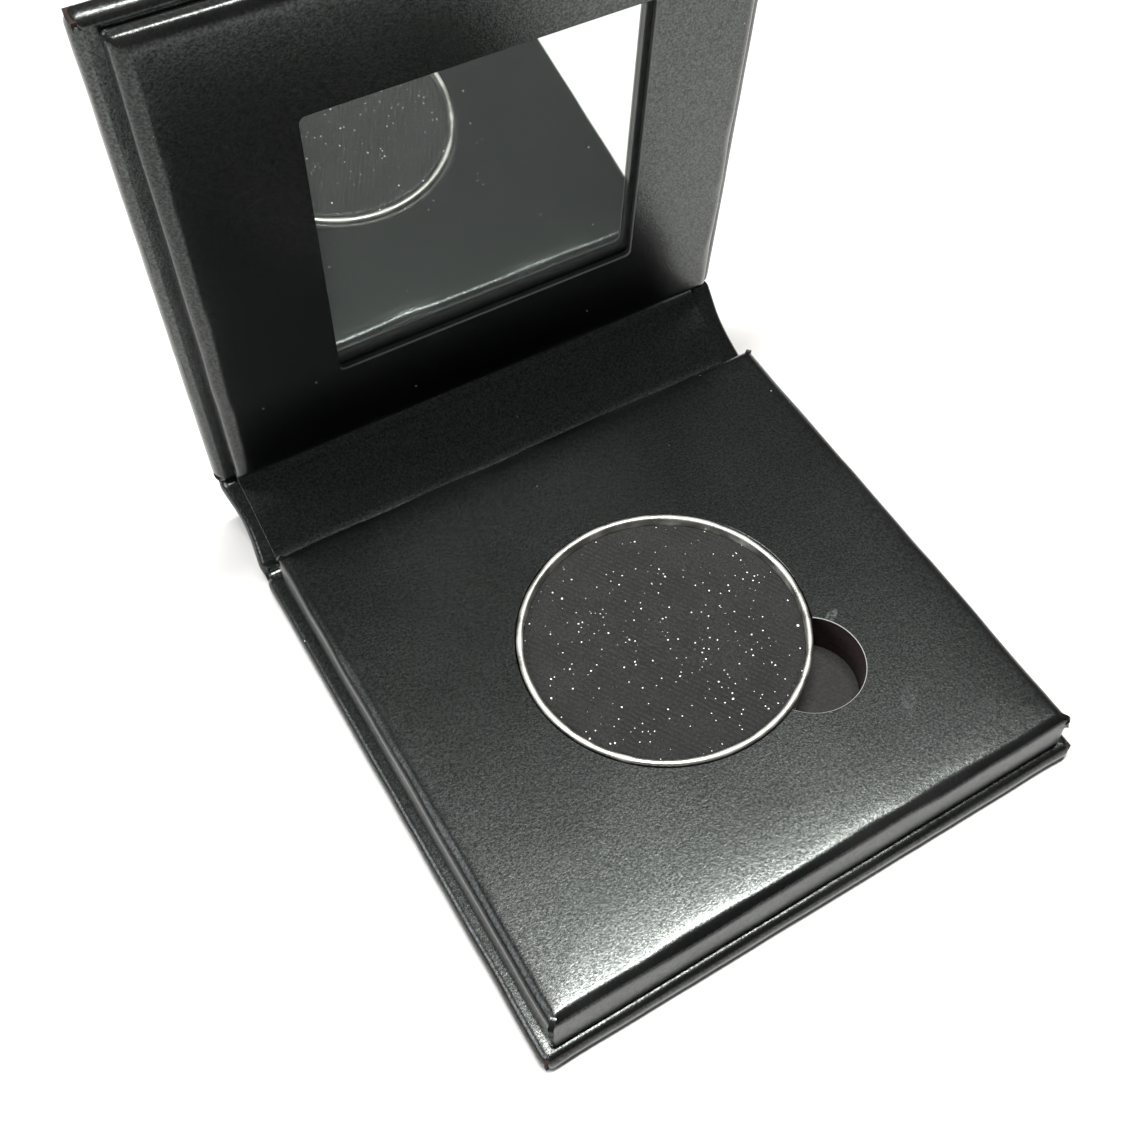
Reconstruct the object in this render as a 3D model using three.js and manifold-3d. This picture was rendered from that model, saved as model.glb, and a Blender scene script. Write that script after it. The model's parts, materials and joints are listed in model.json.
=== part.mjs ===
// A single-pan eyeshadow palette made like a small book: three boards wrapped in soft-touch
// paper, a tray block with a round pan on the lower one, and a mirror panel on the upper one.
// Millimetres, +X along the front edge, +Y towards the spine, +Z up. The origin is on the
// underside of the lower cover, straight below the centre of the tray block.

import * as THREE from 'three';
import { mergeVertices } from 'three/addons/utils/BufferGeometryUtils.js';
import Module from 'manifold-3d';

const wasm = await Module();
wasm.setup();

// ---- Driving dimensions ----

// sheet goods
const coverBoard = 1.5;
const trayBoard = 1.55;
const seatBoard = 1.0;
const windowCard = 0.4;
const wrapPaper = 0.2;
const linerPaper = 0.15;
const glueLine = 0.05;
const turnIn = 9;

// cover and the blocks glued inside it
const trayWidth = 51.6;
const trayDepth = 50.8;
const trayLayers = 3;
const sideOverhang = 1.2;
const frontOverhang = 0.8;
const panelInset = 0.4;
const panelExtraDepth = 0.4;
const linerInset = 0.5;
const wrappedEdge = 0.45;
const wrappedCorner = 0.6;

// pan, its well and the finger notch
const panRadius = 13.1;
const panWall = 0.3;
const panBead = 0.27;
const panProud = 0.2;
const panClearance = 0.2;
const panSeatGap = 0.05;
const footRadius = 10.2;
const powderDrop = 0.7;
const powderGap = 0.05;
const wellFloorSheet = 0.6;
const wellFloorClearance = 0.15;
const notchRadius = 4.95;
const notchTurn = -45;

// mirror
const windowBorder = 10.6;
const windowCorner = 0.6;
const windowShift = 0.4;
const mirrorLap = 1.6;
const mirrorClearance = 0.2;
const mirrorGlass = 0.8;
const mirrorSilver = 0.04;
const mirrorTape = 0.08;
const mirrorGap = 0.02;

// closure magnet and plate
const closureLength = 8;
const closureWidth = 4;
const magnetHeight = 1;
const plateHeight = 0.8;
const closureClearance = 0.1;
const closureX = 0.7;
const closureFromFront = 4.5;

// folds: how far the cover stands open, and how the paper bends
const spineAngle = 36;
const lidAngle = 98;
const closedGap = 0.45;
const spineClearance = 0.4;
const wrapBend = 1.0;
const foldClearance = 0.1;

const roundSegments = 72;
const notchSegments = 40;
const arcSteps = 8;

// ---- Worked out from the driving dimensions ----

const degree = Math.PI / 180;
const coverWidth = trayWidth + 2 * sideOverhang;
const panelWidth = trayWidth - 2 * panelInset;
const panelDepth = trayDepth + panelExtraDepth;
const linerWidth = trayWidth - 2 * linerInset;
const windowWidth = panelWidth - 2 * windowBorder;
const windowDepth = panelDepth - 2 * windowBorder;
const mirrorWidth = windowWidth + 2 * mirrorLap;
const mirrorDepth = windowDepth + 2 * mirrorLap;

// heights are counted from the outer face of a cover board's wrap
const boardBottom = wrapPaper + glueLine;
const boardTop = boardBottom + coverBoard;
const turnInBottom = boardTop + glueLine;
const turnInTop = turnInBottom + wrapPaper;
const blockBottom = turnInTop + glueLine;
const linerTop = blockBottom + linerPaper;

const trayPitch = trayBoard + glueLine;
const trayCoreTop = blockBottom + trayLayers * trayPitch - glueLine;
const trayTop = trayCoreTop + glueLine + wrapPaper;
const wellRadius = panRadius + panClearance;
const wellFloorTop = blockBottom + wellFloorSheet;
const panBottom = wellFloorTop + panSeatGap;
const panHeight = trayTop + panProud - panBottom;
const notchX = panRadius * Math.cos(notchTurn * degree);
const notchY = panRadius * Math.sin(notchTurn * degree);

const cardBottom = blockBottom + seatBoard + glueLine;
const cardTop = cardBottom + windowCard;
const panelTop = cardTop + glueLine + wrapPaper;

// the paper folds about its own middle; each layer stops short of a fold by its own height
const foldHeight = wrapPaper / 2;
const closedHeight = trayTop + closedGap + panelTop;
const spinePitch = closedHeight - wrapPaper;
const foldSetback = linerTop + spineClearance;
const lowerFoldY = trayDepth / 2 + foldSetback;
const boardSetback = boardTop;
const turnInSetback = turnInTop;
const linerSetback = linerTop;

const baseLength = trayDepth + foldSetback + frontOverhang;
const lidLength = foldSetback + panelDepth + frontOverhang;
const panelCentre = foldSetback + panelDepth / 2;
const closureY = -trayDepth / 2 + closureFromFront;
const closureOnLid = lowerFoldY - closureY;

// ---- Geometry helpers ----

function solidOf(geometry) {
  const bare = geometry.clone();
  bare.deleteAttribute('normal');
  bare.deleteAttribute('uv');
  const merged = mergeVertices(bare, 1e-5);
  const vertProperties = new Float32Array(merged.attributes.position.array);
  const triVerts = new Uint32Array(merged.index.array);
  return new wasm.Manifold(new wasm.Mesh({ numProp: 3, vertProperties, triVerts }));
}

function geometryOf(solid) {
  const { vertProperties, triVerts } = solid.getMesh();
  const geometry = new THREE.BufferGeometry();
  geometry.setAttribute('position', new THREE.BufferAttribute(vertProperties, 3));
  geometry.setIndex(new THREE.BufferAttribute(triVerts, 1));
  geometry.computeVertexNormals();
  return geometry;
}

// a box between two heights, centred on x and running from y0 to y1
function slab(width, y0, y1, z0, z1, x = 0) {
  const geometry = new THREE.BoxGeometry(width, Math.abs(y1 - y0), z1 - z0);
  geometry.translate(x, (y0 + y1) / 2, (z0 + z1) / 2);
  return solidOf(geometry);
}

function disc(radius, x, y, z0, z1, segments) {
  const geometry = new THREE.CylinderGeometry(radius, radius, z1 - z0, segments);
  geometry.rotateX(Math.PI / 2);
  geometry.translate(x, y, (z0 + z1) / 2);
  return solidOf(geometry);
}

function roundedOutline(width, depth, radius) {
  const x = width / 2 - radius;
  const y = depth / 2 - radius;
  const outline = new THREE.Shape();
  outline.absarc(x, y, radius, 0, Math.PI / 2, false);
  outline.absarc(-x, y, radius, Math.PI / 2, Math.PI, false);
  outline.absarc(-x, -y, radius, Math.PI, Math.PI * 1.5, false);
  outline.absarc(x, -y, radius, Math.PI * 1.5, Math.PI * 2, false);
  return outline;
}

// a block with rounded upright corners, and with its top edge rounded off by edge
function roundedBlock(width, depth, radius, y, z0, z1, edge, x = 0) {
  const geometry = new THREE.ExtrudeGeometry(roundedOutline(width, depth, radius), {
    depth: z1 - z0,
    curveSegments: 6,
    bevelEnabled: edge > 0,
    bevelThickness: edge,
    bevelSize: edge,
    bevelOffset: -edge,
    bevelSegments: 3,
  });
  geometry.translate(x, y, z0 - edge);
  const foot = slab(width * 2, y - depth, y + depth, z0 - 2 * edge - 1, z0, x);
  return solidOf(geometry).subtract(foot);
}

// ---- Cover: paper wrapped round a board, in the frame of the fold it hangs from ----

// The outer face is at height 0. The board runs along direction (+1 or -1) from the fold;
// its far end, if it has one, is wrapped too.
function coverBoardSolid(direction, from, to) {
  const width = coverWidth - 2 * (wrapPaper + glueLine);
  return slab(width, direction * from, direction * to, boardBottom, boardTop);
}

function coverWrapSolid(direction, from, to, closed) {
  const setback = turnInSetback - wrapBend;
  const endRoom = closed ? wrapPaper : -1;
  const bandRoom = closed ? turnIn : -1;
  const wallTo = closed ? to : to - setback;
  const sheet = slab(coverWidth, direction * from, direction * to, 0, wrapPaper);
  const body = slab(
    coverWidth, direction * (from + setback), direction * wallTo, 0, turnInTop,
  );
  const hollow = slab(
    coverWidth - 2 * wrapPaper,
    direction * (from - 1), direction * (to - endRoom),
    wrapPaper, turnInBottom,
  );
  const mouth = slab(
    coverWidth - 2 * turnIn,
    direction * (from - 1), direction * (to - bandRoom),
    turnInBottom - glueLine, turnInTop + glueLine,
  );
  return sheet.add(body).subtract(hollow).subtract(mouth);
}

// the sheet that levels the hollow between the turn-ins
function fillerSolid(direction, from, to) {
  const width = coverWidth - 2 * (turnIn + glueLine);
  return slab(width, direction * from, direction * (to - turnIn), turnInBottom, turnInTop);
}

// A strip of paper across a fold: flat, then an arc of the bend's angle, then flat again.
// It starts at -back and ends at +on from the fold, with its outer face at the height given.
function foldStrip(turn, bend, height, thickness, back, on, width) {
  const radius = bend / Math.tan((turn / 2) * degree);
  const near = radius - (height - foldHeight);
  const far = near - thickness;
  const points = [];
  const turned = (y, z) => {
    const c = Math.cos(turn * degree);
    const s = Math.sin(turn * degree);
    return new THREE.Vector2(y * c - z * s, y * s + z * c);
  };
  const face = (r, list) => {
    const z = radius - r;
    list.push(new THREE.Vector2(-back, z));
    for (let step = 0; step <= arcSteps; step += 1) {
      const angle = (turn * degree * step) / arcSteps;
      list.push(new THREE.Vector2(-bend + r * Math.sin(angle), radius - r * Math.cos(angle)));
    }
    list.push(turned(on, z));
    return list;
  };
  points.push(...face(near, []));
  points.push(...face(far, []).reverse());
  const geometry = new THREE.ExtrudeGeometry(new THREE.Shape(points), {
    depth: width,
    bevelEnabled: false,
  });
  // the outline was drawn in (y, z): turn it upright and run it along x
  const swap = new THREE.Matrix4().set(0, 0, 1, -width / 2, 1, 0, 0, 0, 0, 1, 0, 0, 0, 0, 0, 1);
  geometry.applyMatrix4(swap);
  return geometry;
}

// ---- Tray block ----

function wellCut(z0, z1, less) {
  const well = disc(wellRadius - less, 0, 0, z0, z1, roundSegments);
  const notch = disc(notchRadius - less, notchX, notchY, z0, z1, notchSegments);
  return well.add(notch);
}

function closurePocket(z0, z1, y) {
  const geometry = new THREE.BoxGeometry(
    closureLength + 2 * closureClearance, closureWidth + 2 * closureClearance, z1 - z0,
  );
  geometry.translate(closureX, y, (z0 + z1) / 2);
  return solidOf(geometry);
}

function trayLayer(index) {
  const skin = 2 * (wrapPaper + glueLine);
  const bottom = blockBottom + index * trayPitch;
  const top = bottom + trayBoard;
  const halfDepth = (trayDepth - skin) / 2;
  const board = slab(trayWidth - skin, -halfDepth, halfDepth, bottom, top);
  const cut = board.subtract(wellCut(bottom - 1, top + 1, 0));
  if (index < trayLayers - 1) {
    return geometryOf(cut);
  }
  const pocketBottom = top - magnetHeight - closureClearance;
  return geometryOf(cut.subtract(closurePocket(pocketBottom, top + 1, closureY)));
}

function trayWrap() {
  const outer = roundedBlock(
    trayWidth, trayDepth, wrappedCorner, 0, blockBottom, trayTop, wrappedEdge,
  );
  const inside = slab(
    trayWidth - 2 * wrapPaper,
    -trayDepth / 2 + wrapPaper, trayDepth / 2 - wrapPaper,
    blockBottom - 1, trayTop - wrapPaper,
  );
  return geometryOf(outer.subtract(inside).subtract(wellCut(blockBottom, trayTop + 1, 0)));
}

function wellFloor() {
  return geometryOf(wellCut(blockBottom, wellFloorTop, wellFloorClearance));
}

function closurePiece(height, top, y) {
  const geometry = new THREE.BoxGeometry(closureLength, closureWidth, height);
  geometry.translate(closureX, y, top - height / 2);
  return geometry;
}

// ---- Pan and powder: outlines of radius and height, turned about the pan's axis ----

function latheAt(outline, bottom) {
  const points = outline.map(([r, z]) => new THREE.Vector2(r, z));
  const geometry = new THREE.LatheGeometry(points, roundSegments);
  geometry.rotateX(Math.PI / 2);
  geometry.translate(0, 0, bottom);
  return geometryOf(solidOf(geometry));
}

function pan() {
  const beadCentre = panRadius - panBead;
  const outerWall = beadCentre;
  const innerWall = outerWall - panWall;
  const beadHeight = panHeight - panBead;
  const outline = [
    [0, panWall],
    [footRadius - 0.7, panWall],
    [footRadius, 0],
    [outerWall - 0.4, 0],
    [outerWall, 0.4],
    [outerWall, beadHeight - panBead],
  ];
  for (let step = 1; step <= arcSteps; step += 1) {
    const angle = (-70 + (250 * step) / arcSteps) * degree;
    const r = beadCentre + panBead * Math.cos(angle);
    outline.push([r, beadHeight + panBead * Math.sin(angle)]);
  }
  outline.push([innerWall, beadHeight - panWall]);
  outline.push([innerWall, panWall + 0.3]);
  outline.push([innerWall - 0.3, panWall]);
  outline.push([footRadius + 0.1, panWall]);
  outline.push([footRadius - 0.6, 2 * panWall]);
  outline.push([0, 2 * panWall]);
  return latheAt(outline, panBottom);
}

function powder() {
  const edge = panRadius - panBead - panWall - powderGap;
  const floor = panWall + powderGap;
  const top = panHeight - powderDrop;
  const outline = [
    [0, floor + panWall],
    [footRadius - 0.6, floor + panWall],
    [footRadius + 0.1, floor],
    [edge - 0.3, floor],
    [edge, floor + 0.3],
    [edge, top - 0.25],
    [edge - 0.25, top],
    [0, top + 0.05],
  ];
  return latheAt(outline, panBottom);
}

// ---- Mirror panel, in the lid's frame ----

// a cut the size of the window, grown by more all round
function windowCut(more, z0, z1) {
  return roundedBlock(
    windowWidth + 2 * more, windowDepth + 2 * more, windowCorner, panelCentre, z0, z1, 0,
    windowShift,
  );
}

function mirrorSeat() {
  const skin = wrapPaper + glueLine;
  const board = slab(
    panelWidth - 2 * skin, foldSetback + skin, foldSetback + panelDepth - skin,
    blockBottom, blockBottom + seatBoard,
  );
  const halfDepth = mirrorDepth / 2 + mirrorClearance;
  const hole = slab(
    mirrorWidth + 2 * mirrorClearance,
    panelCentre - halfDepth, panelCentre + halfDepth, 0, panelTop, windowShift,
  );
  return geometryOf(board.subtract(hole).subtract(closurePocket(0, panelTop, closureOnLid)));
}

function windowBoard() {
  const skin = wrapPaper + glueLine;
  const board = slab(
    panelWidth - 2 * skin, foldSetback + skin, foldSetback + panelDepth - skin,
    cardBottom, cardTop,
  );
  return geometryOf(board.subtract(windowCut(skin, 0, panelTop)));
}

function panelWrap() {
  const outer = roundedBlock(
    panelWidth, panelDepth, wrappedCorner, panelCentre, blockBottom, panelTop, wrappedEdge,
  );
  const inside = slab(
    panelWidth - 2 * wrapPaper,
    foldSetback + wrapPaper, foldSetback + panelDepth - wrapPaper,
    blockBottom - 1, panelTop - wrapPaper,
  );
  const collar = windowCut(wrapPaper, cardBottom, panelTop);
  const window = windowCut(0, 0, panelTop + 1);
  return geometryOf(outer.subtract(inside).add(collar).subtract(window));
}

function mirrorLayer(bottom, height) {
  const half = mirrorDepth / 2;
  const layer = slab(
    mirrorWidth, panelCentre - half, panelCentre + half, bottom, bottom + height, windowShift,
  );
  return geometryOf(layer);
}

// ---- Finishes ----

const finishes = {
  softTouch: { color: 0x1c1d1f, roughness: 0.62, metalness: 0 },
  liner: { color: 0x161718, roughness: 0.6, metalness: 0 },
  greyboard: { color: 0x6b4a3c, roughness: 0.95, metalness: 0 },
  filler: { color: 0x8d8a84, roughness: 0.95, metalness: 0 },
  magneticSheet: { color: 0x151515, roughness: 0.8, metalness: 0 },
  steel: { color: 0xb9bcc0, roughness: 0.35, metalness: 1 },
  tinplate: { color: 0xd4d6d8, roughness: 0.28, metalness: 1 },
  powder: { color: 0x3a3a3d, roughness: 0.85, metalness: 0 },
  glass: { color: 0xf2f6f6, roughness: 0.03, metalness: 0, transparent: true, opacity: 0.3 },
  silver: { color: 0xe4e6e8, roughness: 0.02, metalness: 1 },
  tape: { color: 0xcfc9bb, roughness: 0.8, metalness: 0 },
};

const materials = {};
for (const [name, finish] of Object.entries(finishes)) {
  materials[name] = new THREE.MeshStandardMaterial(finish);
}

function named(name, geometry, finish) {
  const mesh = new THREE.Mesh(geometry, materials[finish]);
  mesh.name = name;
  return mesh;
}

// ---- Assembly ----

const palette = new THREE.Group();

// a group whose own y axis runs out from a fold and whose height 0 is the wrap's outer face
function foldGroup(y, z, angle) {
  const atFold = new THREE.Group();
  atFold.position.set(0, y, z);
  atFold.rotation.x = angle * degree;
  const sheets = new THREE.Group();
  sheets.position.z = -foldHeight;
  atFold.add(sheets);
  palette.add(atFold);
  return { atFold, sheets };
}

const upperFoldY = lowerFoldY + spinePitch * Math.cos(spineAngle * degree);
const upperFoldZ = foldHeight + spinePitch * Math.sin(spineAngle * degree);
const base = foldGroup(lowerFoldY, foldHeight, 0);
const spine = foldGroup(lowerFoldY, foldHeight, spineAngle);
const lid = foldGroup(upperFoldY, upperFoldZ, lidAngle);

// lower cover
const boardEnd = wrapPaper + glueLine;
base.sheets.add(
  named('base_wrap', geometryOf(coverWrapSolid(-1, wrapBend, baseLength, true)), 'softTouch'),
  named(
    'base_board',
    geometryOf(coverBoardSolid(-1, boardSetback, baseLength - boardEnd)),
    'greyboard',
  ),
  named('base_filler', geometryOf(fillerSolid(-1, turnInSetback, baseLength)), 'filler'),
);

// tray block
const layerNames = ['tray_core_lower', 'tray_core_middle', 'tray_core_upper'];
layerNames.forEach((name, index) => {
  palette.add(named(name, trayLayer(index), 'greyboard'));
});
palette.add(
  named('tray_wrap', trayWrap(), 'softTouch'),
  named('well_floor', wellFloor(), 'magneticSheet'),
  named('tray_magnet', closurePiece(magnetHeight, trayCoreTop, closureY), 'steel'),
  named('pan', pan(), 'tinplate'),
  named('powder', powder(), 'powder'),
);

// spine
spine.sheets.add(
  named(
    'spine_wrap',
    geometryOf(coverWrapSolid(1, wrapBend, spinePitch - wrapBend, false)),
    'softTouch',
  ),
  named(
    'spine_board',
    geometryOf(coverBoardSolid(1, boardSetback, spinePitch - boardSetback)),
    'greyboard',
  ),
  named(
    'spine_liner',
    geometryOf(slab(linerWidth, linerSetback, spinePitch - linerSetback, blockBottom, linerTop)),
    'liner',
  ),
);

// the paper across each fold
const wrapReach = wrapBend - glueLine;
const linerReach = linerSetback - glueLine;
const linerFoot = foldSetback - foldClearance;
const wrapAcross = (turn) => foldStrip(
  turn, wrapReach, 0, wrapPaper, wrapReach, wrapReach, coverWidth,
);
base.atFold.add(
  named('lower_crease_wrap', wrapAcross(spineAngle), 'softTouch'),
  named(
    'lower_crease_liner',
    foldStrip(
      spineAngle, linerReach, blockBottom, linerPaper, linerFoot, linerReach, linerWidth,
    ),
    'liner',
  ),
);
const upperFold = new THREE.Group();
upperFold.position.y = spinePitch;
spine.atFold.add(upperFold);
const lidTurn = lidAngle - spineAngle;
upperFold.add(
  named('upper_crease_wrap', wrapAcross(lidTurn), 'softTouch'),
  named(
    'upper_crease_liner',
    foldStrip(lidTurn, linerReach, blockBottom, linerPaper, linerReach, linerFoot, linerWidth),
    'liner',
  ),
);

// upper cover and its mirror panel
lid.sheets.add(
  named('lid_wrap', geometryOf(coverWrapSolid(1, wrapBend, lidLength, true)), 'softTouch'),
  named(
    'lid_board',
    geometryOf(coverBoardSolid(1, boardSetback, lidLength - boardEnd)),
    'greyboard',
  ),
  named('lid_filler', geometryOf(fillerSolid(1, turnInSetback, lidLength)), 'filler'),
  named('mirror_seat', mirrorSeat(), 'greyboard'),
  named('window_board', windowBoard(), 'greyboard'),
  named('panel_wrap', panelWrap(), 'softTouch'),
  named('mirror_tape', mirrorLayer(blockBottom, mirrorTape), 'tape'),
  named(
    'mirror_silver',
    mirrorLayer(blockBottom + mirrorTape + mirrorGap, mirrorSilver),
    'silver',
  ),
  named(
    'mirror_glass',
    mirrorLayer(blockBottom + mirrorTape + mirrorSilver + 2 * mirrorGap, mirrorGlass),
    'glass',
  ),
  named(
    'lid_plate',
    closurePiece(plateHeight, blockBottom + seatBoard - closureClearance, closureOnLid),
    'steel',
  ),
);

export default palette;
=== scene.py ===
# %% [markdown]
# # A single-pan eyeshadow palette
# The palette is a small book: three boards in one sheet of black soft-touch paper. A thick
# tray block with a round pan is glued to the lower board, and a thinner panel with a mirror
# to the upper one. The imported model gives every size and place, so this script adds the
# surface: rounded paper edges, folded corners, pressed powder, metal, glass and dust.

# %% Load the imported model
import json
import math

import bmesh
import bpy
from mathutils import Matrix, Vector, noise


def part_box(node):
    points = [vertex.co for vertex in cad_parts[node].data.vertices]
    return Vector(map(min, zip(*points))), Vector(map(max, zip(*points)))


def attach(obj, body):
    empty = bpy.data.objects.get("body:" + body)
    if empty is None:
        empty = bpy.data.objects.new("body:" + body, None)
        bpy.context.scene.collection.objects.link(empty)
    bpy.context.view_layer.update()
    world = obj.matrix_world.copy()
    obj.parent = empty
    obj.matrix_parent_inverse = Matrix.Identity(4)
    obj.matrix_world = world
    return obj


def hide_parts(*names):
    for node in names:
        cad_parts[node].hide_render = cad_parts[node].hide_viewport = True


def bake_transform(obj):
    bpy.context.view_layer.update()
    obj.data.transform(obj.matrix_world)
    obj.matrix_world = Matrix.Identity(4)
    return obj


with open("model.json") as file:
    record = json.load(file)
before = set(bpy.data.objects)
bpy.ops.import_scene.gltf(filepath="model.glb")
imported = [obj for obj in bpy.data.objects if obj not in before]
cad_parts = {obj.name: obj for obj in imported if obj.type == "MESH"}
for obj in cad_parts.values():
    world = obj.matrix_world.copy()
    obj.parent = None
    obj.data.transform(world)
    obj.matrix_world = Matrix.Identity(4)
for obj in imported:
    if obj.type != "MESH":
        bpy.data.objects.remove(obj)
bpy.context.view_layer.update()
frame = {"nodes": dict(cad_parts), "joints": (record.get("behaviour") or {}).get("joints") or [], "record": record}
MM = 0.001

# %% [markdown]
# ## The two folds
# Everything behind the tray is turned about one of two folds, so a turned piece is modelled
# lying flat and set in place with one matrix. The joints give the folds' places. Each fold
# is square when the palette is shut, so its range says how far open it stands now.

# %% Places of the folds
joints = {joint["name"]: joint for joint in frame["joints"]}
LOWER_FOLD = Vector(joints["spine_fold"]["pos_m"])
UPPER_FOLD = Vector(joints["lid_fold"]["pos_m"])
SPINE_LEAN = math.radians(90 + joints["spine_fold"]["range_deg"][0])
LID_TURN = math.radians(90 + joints["lid_fold"]["range_deg"][0])
LID_LEAN = SPINE_LEAN + LID_TURN
FOLD_HEIGHT = LOWER_FOLD.z
SPINE_PITCH = (UPPER_FOLD - LOWER_FOLD).length


def place_at(fold, lean):
    """Flat coordinates: y runs out from the fold, and height 0 is the outer face of the paper."""
    drop = Matrix.Translation((0, 0, -FOLD_HEIGHT))
    return Matrix.Translation(fold) @ Matrix.Rotation(lean, 4, "X") @ drop


BASE_PLACE = place_at(LOWER_FOLD, 0)
LID_PLACE = place_at(UPPER_FOLD, LID_LEAN)


def flat_box(node, place):
    """A node's lowest and highest corner in the flat coordinates of a place."""
    back = place.inverted()
    points = [back @ v.co for v in frame["nodes"][node].data.vertices]
    low = Vector([min(p[i] for p in points) for i in range(3)])
    high = Vector([max(p[i] for p in points) for i in range(3)])
    return low, high


BASE_LOW, BASE_HIGH = flat_box("base_wrap", BASE_PLACE)
LID_HIGH = flat_box("lid_wrap", LID_PLACE)[1]
TRAY_LOW, TRAY_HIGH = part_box("tray_wrap")
PANEL_LOW, PANEL_HIGH = flat_box("panel_wrap", LID_PLACE)
print("spine leans", round(math.degrees(SPINE_LEAN), 1), "lid leans", round(math.degrees(LID_LEAN), 1))
print("tray", [round(v / MM, 2) for v in TRAY_HIGH - TRAY_LOW], "mm")

# %% [markdown]
# ## Camera
# The camera looks down at the open palette from the front left, close enough for strong
# perspective. One direction aims it, and a small roll finishes it.

# %% Camera
EYE = Vector((-38.6, -58.1, 116.3)) * MM
AIM = Vector((7.15, 2.3, 7.05)) * MM
ROLL = math.radians(5.2)

camera_data = bpy.data.cameras.new("camera")
camera_data.lens = 46.3
camera_data.sensor_width = 36
camera_data.shift_x = -0.131
camera_data.shift_y = 0.0095
camera_data.clip_start = 0.005
camera_data.clip_end = 20
camera = bpy.data.objects.new("camera", camera_data)
turn = (AIM - EYE).to_track_quat("-Z", "Y").to_matrix().to_4x4()
camera.matrix_world = Matrix.Translation(EYE) @ turn @ Matrix.Rotation(ROLL, 4, "Z")
bpy.context.scene.collection.objects.link(camera)
bpy.context.scene.camera = camera
print("camera stands", round((EYE - AIM).length / MM), "mm away")

# %% [markdown]
# ## Floor and light
# The palette stands on a pale round table. Black soft-touch paper is only seen by what it
# reflects, so the places of the lamps matter more than their colours. A broad lamp above
# puts a soft sheen on the tray, and a weaker one on the left lights what faces it. The
# surroundings are dim, which keeps the paper black; only the camera sees them white.

# %% Floor and lamps
TABLE_RADIUS = 0.42
WORLD_DIM = 0.15
WORLD_SEEN = 1.0


def lamp(name, place, aim, width, depth, watts, colour):
    """A rectangular lamp that faces its aim."""
    data = bpy.data.lights.new(name, "AREA")
    data.shape = "RECTANGLE"
    data.size = width
    data.size_y = depth
    data.energy = watts
    data.color = colour
    obj = bpy.data.objects.new(name, data)
    direction = Vector(aim) - Vector(place)
    obj.location = place
    obj.rotation_euler = direction.to_track_quat("-Z", "Y").to_euler()
    bpy.context.scene.collection.objects.link(obj)


floor_bm = bmesh.new()
bmesh.ops.create_circle(floor_bm, cap_ends=True, cap_tris=True, segments=96, radius=TABLE_RADIUS)
floor_mesh = bpy.data.meshes.new("table")
floor_bm.to_mesh(floor_mesh)
floor_bm.free()
table = bpy.data.objects.new("table", floor_mesh)
bpy.context.scene.collection.objects.link(table)

lamp("lamp_above", (0.025, 0.025, 0.75), (0.025, 0.025, 0.0), 0.42, 0.12, 12.5, (1.0, 0.985, 0.95))
lamp("lamp_left", (-0.46, 0.1, 0.34), (-0.02, 0.02, 0.03), 0.4, 0.3, 2.2, (0.97, 0.98, 1.0))
world = bpy.data.worlds.new("studio")
world.use_nodes = True
sky = world.node_tree.nodes["Background"]
sky.inputs["Color"].default_value = (1, 1, 1, 1)
seen = world.node_tree.nodes.new("ShaderNodeLightPath")
level = world.node_tree.nodes.new("ShaderNodeMapRange")
level.inputs["To Min"].default_value = WORLD_DIM
level.inputs["To Max"].default_value = WORLD_SEEN
world.node_tree.links.new(seen.outputs["Is Camera Ray"], level.inputs["Value"])
world.node_tree.links.new(level.outputs[0], sky.inputs["Strength"])
bpy.context.scene.world = world
bpy.context.scene.view_settings.view_transform = "Standard"

# %% [markdown]
# ## Building materials
# Every finish is a small tree of nodes. Each input in it is either typed in or fed by
# another node, and one helper does both. The others are short names for the nodes that come
# up most. Noise is read at a point in the object's own metres, so a grain has a true size.


# %% Node helpers
def feed(tree, sockets, values):
    """Gives each socket its value, or a link if the value is a node's output."""
    for key, value in values.items():
        if isinstance(value, bpy.types.NodeSocket):
            tree.links.new(value, sockets[key])
        else:
            sockets[key].default_value = value


def node(tree, kind, inputs=None, **settings):
    made = tree.nodes.new(kind)
    for key, value in settings.items():
        setattr(made, key, value)
    feed(tree, made.inputs, inputs or {})
    return made


def maths(tree, operation, first, second=0.0, clamp=False):
    inputs = {0: first, 1: second}
    return node(tree, "ShaderNodeMath", inputs, operation=operation, use_clamp=clamp).outputs[0]


def ramp(tree, factor, low, high, start=0.0, end=1.0):
    inputs = {"Value": factor, "From Min": low, "From Max": high, "To Min": start, "To Max": end}
    return node(tree, "ShaderNodeMapRange", inputs, interpolation_type="SMOOTHSTEP").outputs[0]


def mix_colour(tree, factor, first, second):
    inputs = {0: factor, 6: first, 7: second}
    return node(tree, "ShaderNodeMix", inputs, data_type="RGBA").outputs[2]


def noise_at(tree, point, scale, detail=2.0, rough=0.5):
    inputs = {"Vector": point, "Scale": scale, "Detail": detail, "Roughness": rough}
    return node(tree, "ShaderNodeTexNoise", inputs).outputs["Fac"]


def object_point(tree):
    return node(tree, "ShaderNodeTexCoord").outputs["Object"]


def bump(tree, strength, distance, height, **under):
    """Relief from a pattern of heights. Another bump can lie under it, as its Normal."""
    inputs = {"Strength": strength, "Distance": distance, "Height": height, **under}
    return node(tree, "ShaderNodeBump", inputs).outputs[0]


print("node helpers ready")

# %% [markdown]
# ## Materials and shared patterns
# A material starts as the standard surface shader, whose inputs are fed afterwards. Patterns
# that several finishes share are node groups, so that all the paper has the same grain.


# %% Materials and groups
def start_material(name):
    material = bpy.data.materials.new(name)
    material.use_nodes = True
    tree = material.node_tree
    return material, tree, tree.nodes["Principled BSDF"].inputs


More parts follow.
